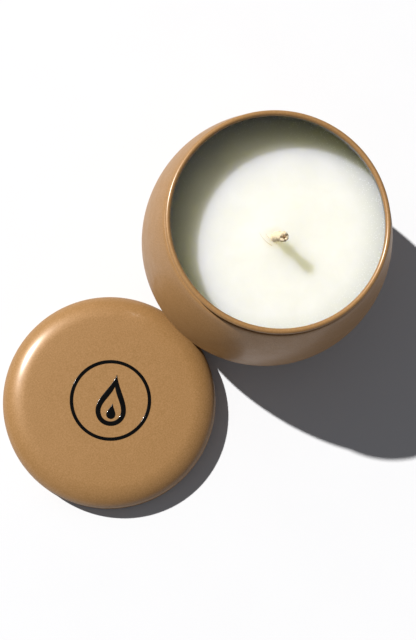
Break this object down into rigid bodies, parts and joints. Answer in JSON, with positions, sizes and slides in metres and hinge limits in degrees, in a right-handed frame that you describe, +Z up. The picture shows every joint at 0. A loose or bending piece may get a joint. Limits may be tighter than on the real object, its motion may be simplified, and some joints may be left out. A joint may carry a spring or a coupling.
{
  "type": "candle tin",
  "caption": "Round-bellied metal candle tin with poured wax and a cotton wick, and its shallow slip-on lid lying beside it.",
  "frame": {"origin": "bottom centre of the whole object's box, on the surface that the tin and the lid rest on", "axes": "+X runs from the lid's axis to the tin's axis, +Z is up along both axes, +Y is across them"},
  "size_m": [0.1456, 0.08, 0.0667],
  "materials": {
    "tan_paint": "satin paint with a very fine grain",
    "label_paper": "matt coated paper, blank",
    "wax": "cream wax, smooth and slightly translucent",
    "cotton": "waxed braided cotton",
    "core_thread": "twisted thread, darker at its cut end",
    "tinplate": "bare tinplate",
    "adhesive_foam": "white foam tape",
    "gloss_black": "gloss black, raised"
  },
  "bodies": {
    "tin": {"tin_body": "tan_paint", "base_label": "label_paper", "wax_fill": "wax", "wick_braid": "cotton", "wick_core": "core_thread", "wick_tab": "tinplate", "wick_sticker": "adhesive_foam"},
    "lid": {"lid_shell": "tan_paint", "emblem_ring": "gloss_black", "emblem_flame": "gloss_black", "emblem_drop": "gloss_black"}
  },
  "joints": [
    {"name": "lid_lift", "type": "slide", "parent": "tin", "child": "lid", "axis": [-0.6, 0, 0.8], "range_m": [0, 0.09]}
  ]
}
